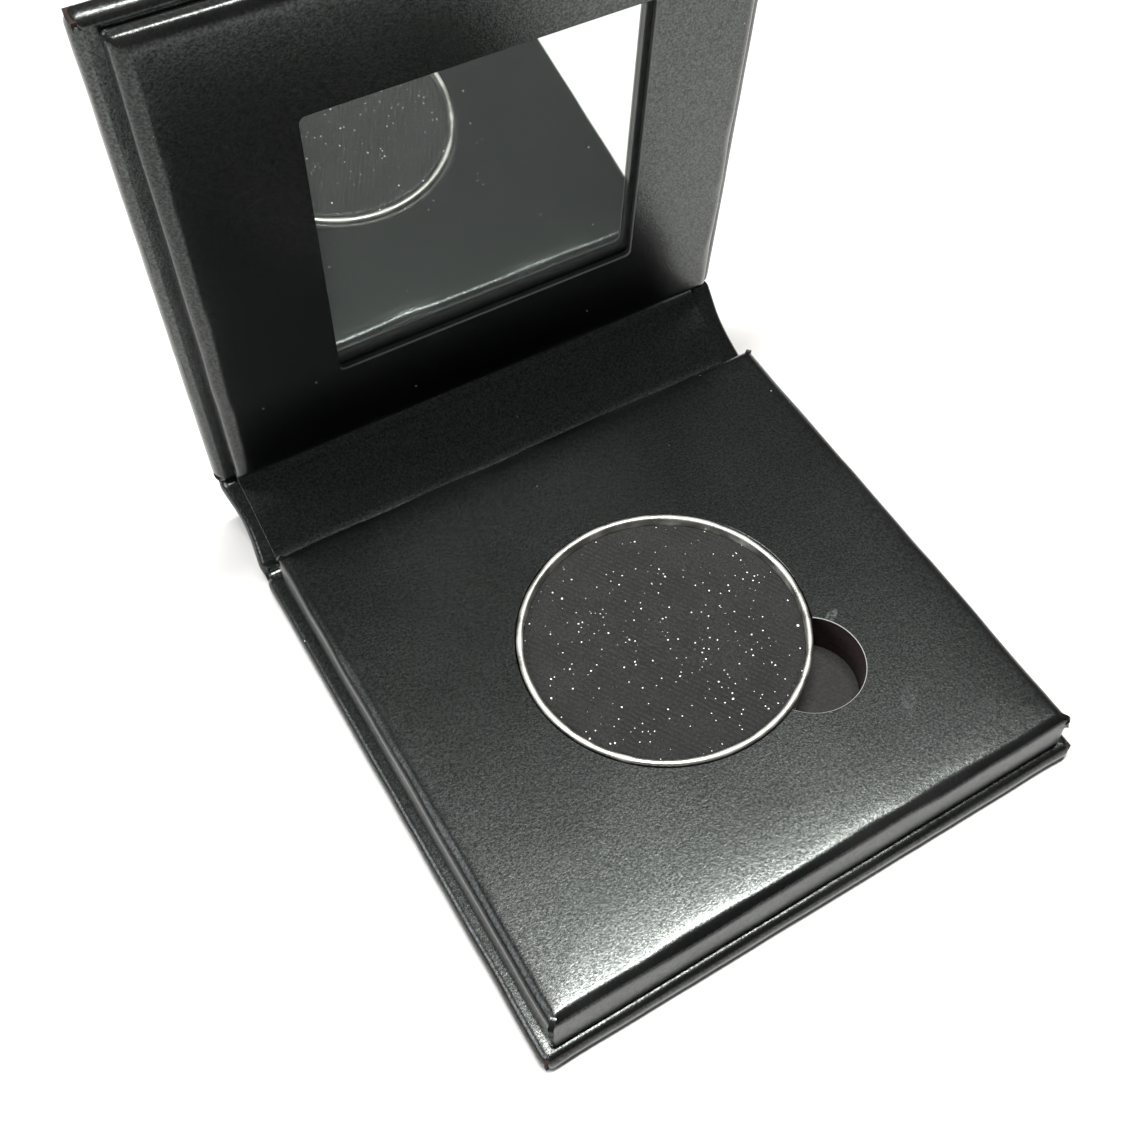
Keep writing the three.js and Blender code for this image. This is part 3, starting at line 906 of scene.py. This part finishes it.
def wrapped_walls(bm, low, high, corner, inset, drop, foot, crown):
    """The four walls with a shoulder above and a turned-under foot."""
    centre = (low + high) / 2
    reach = (high - low) / 2
    wall_top = high.z - drop
    wall_foot = low.z + foot
    block(bm, Vector((low.x, low.y, wall_foot)), Vector((high.x, high.y, wall_top)))
    round_edges(bm, lambda e: is_along(e, 2), corner, 5)
    caps = [face for face in bm.faces if abs(face.normal.z) > 0.9]
    bmesh.ops.delete(bm, geom=caps, context="FACES_ONLY")
    cut_across(bm, 0, spread(low.x + corner, high.x - corner, 48))
    cut_across(bm, 1, spread(low.y + corner, high.y - corner, 48))
    cut_across(bm, 2, spread(wall_foot, wall_top, 8))
    loop = quarter_turn(bm, loop_at(bm, wall_top), centre, reach, inset, drop - crown, 8)
    rings = len(CROWN_INSETS) - 1
    reached = 0.0
    for number in range(rings):
        height = crown * math.sin(math.pi / 2 * (number + 1) / rings)
        outer, inner = CROWN_INSETS[number:number + 2]
        loop = ring_from(bm, loop, centre, reach, inset + outer, inset + inner, height - reached)
        reached = height
    for vert in bm.verts:
        if abs(vert.co.z - high.z) < 2e-6:
            vert.co.z = high.z
    under = quarter_turn(bm, loop_at(bm, wall_foot), centre, reach, foot, -foot, 4)
    ring_from(bm, under, centre, reach, foot, foot + 1.5 * MM, 0)


def fill_top(bm, height):
    """Fills the flat top between the walls' inner loop and the outline drawn inside it."""
    open_edges = [
        edge for edge in bm.edges
        if len(edge.link_faces) < 2 and all(abs(v.co.z - height) < 1e-6 for v in edge.verts)
    ]
    bmesh.ops.triangle_fill(
        bm, edges=open_edges, use_beauty=True, use_dissolve=False, normal=(0, 0, 1)
    )


print("the crown is", CROWN_INSETS[-1] / MM, "mm wide")

# %% [markdown]
# ## Uneven edges
# Paper wrapped by hand wanders, so slow noise draws the shoulder and the walls inwards, more
# so higher up. Two folds stand out on each corner, and the upper edges are the most worn.

# %% Uneven edges and the sheet's thickness
PAPER_THICK = 0.2 * MM
CORNER_FOLD = 0.16 * MM
RIM_SLOT = 1


def wander(bm, low, high, inset, depth, seed):
    """Lets the shoulder and the walls wander a little, always inwards, and marks their wear."""
    wear = bm.verts.layers.float.new("wear")
    centre = (low + high) / 2
    reach = (high - low) / 2
    for vert in bm.verts:
        flat = vert.co.copy()
        from_x = reach.x - abs(flat.x - centre.x)
        from_y = reach.y - abs(flat.y - centre.y)
        near = min(from_x, from_y)
        if near > inset + 0.4 * MM:
            continue
        share = 1 - smooth_step(near, inset * 0.3, inset + 0.4 * MM)
        high_up = smooth_step(flat.z, low.z, high.z)
        pull = depth * (0.5 + 0.5 * noise.noise(flat * 170 + Vector((seed, 0, 0))))
        way = Vector((
            math.copysign(1, flat.x - centre.x) if from_x <= from_y + 1e-5 else 0,
            math.copysign(1, flat.y - centre.y) if from_y <= from_x + 1e-5 else 0,
            0,
        ))
        vert.co -= way * pull * share * (0.3 + high_up)
        sink = max(0.0, noise.noise(flat * 210 + Vector((0, seed, 0))))
        vert.co.z -= depth * 0.9 * share * high_up * sink
        if from_x < 0.45 * MM and from_y < 0.45 * MM:
            for tip_height in (high.z - 0.65 * MM, high.z - 1.7 * MM):
                tip = max(0.0, 1 - abs(flat.z - tip_height) / (0.45 * MM))
                vert.co.x += math.copysign(CORNER_FOLD * tip, flat.x - centre.x)
                vert.co.y += math.copysign(CORNER_FOLD * tip, flat.y - centre.y)
        vert[wear] = share * (0.25 + 0.35 * high_up)


def face_up(bm):
    """Points the faces outwards before the sheet gets its thickness."""
    bmesh.ops.recalc_face_normals(bm, faces=bm.faces)
    top = max(bm.faces, key=lambda face: face.calc_center_median().z + face.calc_area())
    if top.normal.z < 0:
        bmesh.ops.reverse_faces(bm, faces=bm.faces)


def paper_thickness(piece):
    """Gives a sheet its thickness inwards; its cut rims take the raw paper finish."""
    solid = piece.modifiers.new("sheet", "SOLIDIFY")
    solid.thickness = PAPER_THICK
    solid.offset = -1
    solid.use_rim = True
    solid.material_offset_rim = RIM_SLOT


print("paper", round(PAPER_THICK / MM, 2), "mm thick")

# %% [markdown]
# ## The tray
# The tray's paper has a round well for the pan and a half-moon notch beside it, cut through
# in one stroke. The two arcs are spun from the two points where the circles cross, and the
# flat top is filled between them and the shoulder's inner loop.

# %% The well's outline
WELL_RADIUS = 13.3 * MM
NOTCH_RADIUS = 4.95 * MM
NOTCH_CENTRE = Vector((1, -1, 0)).normalized() * 13.1 * MM
apart = NOTCH_CENTRE.length
share_out = (apart ** 2 + WELL_RADIUS ** 2 - NOTCH_RADIUS ** 2) / (2 * apart)
half_open = math.acos(share_out / WELL_RADIUS)
notch_half = math.acos((apart - share_out) / NOTCH_RADIUS)
print("notch opens", round(math.degrees(half_open) * 2), "degrees of the well")


def arc(bm, centre, radius, start_angle, sweep, steps):
    """Spins one point into an arc."""
    start = Vector((math.cos(start_angle), math.sin(start_angle), 0)) * radius
    seed_vert = bm.verts.new(centre + start)
    bmesh.ops.spin(
        bm, geom=[seed_vert], cent=centre, axis=(0, 0, 1), angle=sweep, steps=steps, use_merge=False
    )


def well_outline(bm, height):
    """The well with its notch as one closed loop at a height."""
    up = Vector((0, 0, height))
    facing = math.radians(-45)
    before = set(bm.verts)
    arc(bm, up, WELL_RADIUS, facing + half_open, math.tau - 2 * half_open, 132)
    arc(bm, NOTCH_CENTRE + up, NOTCH_RADIUS, facing - math.pi + notch_half,
        math.tau - 2 * notch_half, 56)
    made = [vert for vert in bm.verts if vert not in before]
    bmesh.ops.remove_doubles(bm, verts=made, dist=2e-6)

# %% [markdown]
# ## The tray's cover
# The walls, the outline and the flat top are joined first. Then the edge of the opening is
# drawn a little in and down, as a knife leaves it. Along the notch that narrow slope takes
# the raw paper finish, the pale line of the cut.

# %% Tray cover
TRAY_INSET = 1.2 * MM
SLOPE_IN = 0.06 * MM
SLOPE_DOWN = 0.05 * MM

bm = bmesh.new()
wrapped_walls(
    bm, TRAY_LOW, TRAY_HIGH,
    corner=0.5 * MM, inset=TRAY_INSET, drop=0.9 * MM, foot=0.5 * MM, crown=0.075 * MM,
)
well_outline(bm, TRAY_HIGH.z)
fill_top(bm, TRAY_HIGH.z)
wander(bm, TRAY_LOW, TRAY_HIGH, TRAY_INSET, depth=0.22 * MM, seed=4.0)
outline = [e for e in bm.edges if e.is_boundary and e.verts[0].co.z > TRAY_HIGH.z - 1e-6]
made = bmesh.ops.extrude_edge_only(bm, edges=outline)["geom"]
for vert in only(made, bmesh.types.BMVert):
    middle = Vector((0, 0, 0))
    if (vert.co.xy - NOTCH_CENTRE.xy).length < NOTCH_RADIUS + 0.01 * MM:
        middle = NOTCH_CENTRE
    inwards = Vector((middle.x - vert.co.x, middle.y - vert.co.y, 0)).normalized()
    vert.co += inwards * SLOPE_IN - Vector((0, 0, SLOPE_DOWN))
face_up(bm)
for face in bm.faces:
    centre = face.calc_center_median()
    in_cut = TRAY_HIGH.z - 0.04 * MM < centre.z < TRAY_HIGH.z - 0.01 * MM
    if in_cut and abs((centre.xy - NOTCH_CENTRE.xy).length - NOTCH_RADIUS) < 0.12 * MM:
        face.material_index = 1
tray_cover = finish_piece(bm, "tray_cover", [TRAY_PAPER, CUT_PAPER])
paper_thickness(tray_cover)
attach(tray_cover, "base")
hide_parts("tray_wrap")

# %% [markdown]
# ## The boards that the paper presses on
# Where the paper runs over an edge, it crushes the board beneath. The tray's upper board and
# the lid's window board get that crushed edge: an outline with its hole is filled, pulled up
# to the board's thickness, and its long upper edges are rounded.


# %% Crushed boards
def flat_rectangle(bm, centre, half, height):
    """A rectangle about a centre, at a height. Returns its points."""
    before = set(bm.verts)
    bmesh.ops.create_grid(bm, x_segments=1, y_segments=1, size=1)
    made = [vert for vert in bm.verts if vert not in before]
    bmesh.ops.scale(bm, vec=(half.x, half.y, 1), verts=made)
    bmesh.ops.translate(bm, vec=(centre.x, centre.y, height), verts=made)
    return made


def crushed_board(bm, low, high, inset, edge):
    """Closes a flat outline with a hole into a board with a rounded upper edge."""
    half = (high - low) / 2 - Vector((inset, inset, 0))
    flat_rectangle(bm, (high + low) / 2, half, low.z)
    bmesh.ops.delete(bm, geom=bm.faces[:], context="FACES_ONLY")
    filled = bmesh.ops.triangle_fill(
        bm, edges=bm.edges[:], use_beauty=True, use_dissolve=False, normal=(0, 0, 1)
    )
    faces = only(filled["geom"], bmesh.types.BMFace)
    raised = bmesh.ops.extrude_face_region(bm, geom=faces)["geom"]
    lifted = only(raised, bmesh.types.BMVert)
    bmesh.ops.translate(bm, vec=(0, 0, high.z - low.z), verts=lifted)
    bmesh.ops.recalc_face_normals(bm, faces=bm.faces)
    round_edges(
        bm,
        lambda e: all(v.co.z > high.z - 1e-6 for v in e.verts) and e.calc_face_angle(0) > 1.2
        and e.calc_length() > 20 * MM,
        edge, 4,
    )


CORE_LOW, CORE_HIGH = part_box("tray_core_upper")
bm = bmesh.new()
well_outline(bm, CORE_LOW.z)
crushed_board(bm, CORE_LOW, CORE_HIGH, inset=0.3 * MM, edge=0.9 * MM)
tray_board = finish_piece(bm, "tray_board_crushed", [BOARD])
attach(tray_board, "base")
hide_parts("tray_core_upper")

# %% [markdown]
# ## The mirror panel
# The panel is wrapped in the same way, flat on the lid. Its window has rounded corners, and
# the paper is cut flush with the black card below it, so its pale core shows as a thin line.

# %% The window's outline
WINDOW_LOW, WINDOW_HIGH = flat_box("mirror_glass", LID_PLACE)
WINDOW_CENTRE = (WINDOW_LOW + WINDOW_HIGH) / 2
WINDOW_BORDER_MM = 1.6
WINDOW_HALF = (WINDOW_HIGH - WINDOW_LOW) / 2 - Vector((WINDOW_BORDER_MM, WINDOW_BORDER_MM, 0)) * MM
WINDOW_CORNER = 0.6 * MM


def window_outline(bm, more, height):
    """The window as a closed loop with rounded corners, grown a little all round."""
    pane = flat_rectangle(bm, WINDOW_CENTRE, WINDOW_HALF + Vector((more, more, 0)), height)
    bmesh.ops.bevel(
        bm, geom=pane, offset=WINDOW_CORNER + more, segments=7, profile=0.5,
        affect="VERTICES", material=-1,
    )
    pane_face = [face for face in bm.faces if len(face.verts) > 12]
    window_edges = list(pane_face[0].edges)
    bmesh.ops.delete(bm, geom=pane_face, context="FACES_ONLY")
    long = [edge for edge in window_edges if edge.calc_length() > 5 * MM]
    bmesh.ops.subdivide_edges(bm, edges=long, cuts=24)


print("window", [round(2 * v / MM, 2) for v in WINDOW_HALF.xy], "mm")

# %% Window card
CARD_LOW, CARD_HIGH = flat_box("window_board", LID_PLACE)
bm = bmesh.new()
window_outline(bm, 0.05 * MM, CARD_LOW.z)
crushed_board(bm, CARD_LOW, CARD_HIGH, inset=0.5 * MM, edge=0.35 * MM)
window_card = finish_piece(bm, "window_card_crushed", [CARD], LID_PLACE)
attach(window_card, "lid")
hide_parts("window_board")

# %% Panel cover
PANEL_INSET = 1.35 * MM
bm = bmesh.new()
wrapped_walls(
    bm, PANEL_LOW, PANEL_HIGH,
    corner=0.6 * MM, inset=PANEL_INSET, drop=0.85 * MM, foot=0.4 * MM, crown=0.06 * MM,
)
window_outline(bm, 0, PANEL_HIGH.z)
fill_top(bm, PANEL_HIGH.z)
wander(bm, PANEL_LOW, PANEL_HIGH, PANEL_INSET, depth=0.2 * MM, seed=11.0)
face_up(bm)
panel_cover = finish_piece(bm, "panel_cover", [PAPER, CUT_PAPER], LID_PLACE)
paper_thickness(panel_cover)
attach(panel_cover, "lid")
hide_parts("panel_wrap")

# %% [markdown]
# ## The pan
# The pan is drawn from thin tinplate: a shallow cup whose edge is rolled outwards into a
# bead. Its half section is a few points round the metal, and spinning it makes the cup.

# %% Pan
PAN_LOW, PAN_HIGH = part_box("pan")
PAN_RADIUS = PAN_HIGH.x
WALL_OUT = PAN_RADIUS - 0.27 * MM
WALL_IN = WALL_OUT - 0.3 * MM
rim = PAN_HIGH.z
foot = PAN_LOW.z
section = [
    (0.0, foot + 0.2 * MM), (9.6 * MM, foot + 0.2 * MM), (10.1 * MM, foot), (WALL_OUT - 0.5 * MM, foot),
    (WALL_OUT, foot + 0.5 * MM), (WALL_OUT, rim - 0.52 * MM), (PAN_RADIUS - 0.07 * MM, rim - 0.49 * MM),
    (PAN_RADIUS, rim - 0.38 * MM), (PAN_RADIUS, rim - 0.2 * MM), (PAN_RADIUS - 0.06 * MM, rim - 0.07 * MM),
    (PAN_RADIUS - 0.17 * MM, rim), (WALL_IN + 0.17 * MM, rim), (WALL_IN + 0.05 * MM, rim - 0.06 * MM),
    (WALL_IN, rim - 0.18 * MM), (WALL_IN, foot + 0.6 * MM), (WALL_IN - 0.3 * MM, foot + 0.3 * MM),
    (0.0, foot + 0.3 * MM),
]
bm = bmesh.new()
verts = [bm.verts.new((radius, 0, height)) for radius, height in section]
edges = [bm.edges.new(pair) for pair in zip(verts, verts[1:])]
bmesh.ops.spin(
    bm, geom=verts + edges, cent=(0, 0, 0), axis=(0, 0, 1), angle=math.tau, steps=160, use_merge=True
)
bmesh.ops.remove_doubles(bm, verts=bm.verts, dist=1e-7)
bmesh.ops.recalc_face_normals(bm, faces=bm.faces)
for vert in bm.verts:
    around = Vector((vert.co.x, vert.co.y, 0)).normalized()
    lift = smooth_step(vert.co.z, rim - 1 * MM, rim)
    vert.co += around * lift * ripple(vert.co, 90, 0.035 * MM, 6.0)
pan_cup = finish_piece(bm, "pan_cup", [TINPLATE], smooth_angle=50)
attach(pan_cup, "pan")
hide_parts("pan")

# %% [markdown]
# ## The pressed powder
# The powder was pressed through a cloth, so its face has fine slanting ribs, deeper in some
# places than in others. A square grid is drawn into a disc, fine enough to carry the ribs
# as real relief, its edge is rounded, and a skirt and a floor close it inside the pan.

# %% Powder cake
POWDER_LOW, POWDER_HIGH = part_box("powder")
CAKE_RADIUS = POWDER_HIGH.x
RIB_WAY = Vector((math.cos(math.radians(30)), math.sin(math.radians(30)), 0))
RIB_PITCH = 0.46 * MM
RIB_DEPTH = 0.036 * MM
CRUMB_DEPTH = 0.014 * MM
DOME = 0.04 * MM

bm = bmesh.new()
bmesh.ops.create_grid(bm, x_segments=210, y_segments=210, size=1)
for vert in bm.verts:
    across, along = vert.co.x, vert.co.y
    spot = Vector((
        across * math.sqrt(1 - along * along / 2), along * math.sqrt(1 - across * across / 2), 0
    )) * CAKE_RADIUS
    from_rim = CAKE_RADIUS - spot.length
    pressed = 0.35 + 0.65 * noise.noise(spot * 140 + Vector((3, 1, 0)))
    bend = ripple(spot, 260, 0.5 * MM, 8.0)
    rib = math.sin(math.tau * (spot.dot(RIB_WAY) + bend) / RIB_PITCH)
    relief = RIB_DEPTH * rib * max(0.15, pressed) + ripple(spot, 1500, CRUMB_DEPTH, 1.0)
    rounded = 0.25 * MM * (1 - smooth_step(from_rim, 0, 0.5 * MM))
    dome = DOME * (1 - (spot.length / CAKE_RADIUS) ** 2)
    vert.co = Vector((spot.x, spot.y, POWDER_HIGH.z - 0.05 * MM + dome + relief - rounded))
skirt = [edge for edge in bm.edges if edge.is_boundary]
made = bmesh.ops.extrude_edge_only(bm, edges=skirt)["geom"]
for vert in only(made, bmesh.types.BMVert):
    vert.co.z = POWDER_LOW.z
bmesh.ops.edgeloop_fill(bm, edges=only(made, bmesh.types.BMEdge))
bmesh.ops.recalc_face_normals(bm, faces=bm.faces)
cake = finish_piece(bm, "powder_cake", [POWDER], smooth_angle=60)
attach(cake, "pan")
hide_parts("powder")
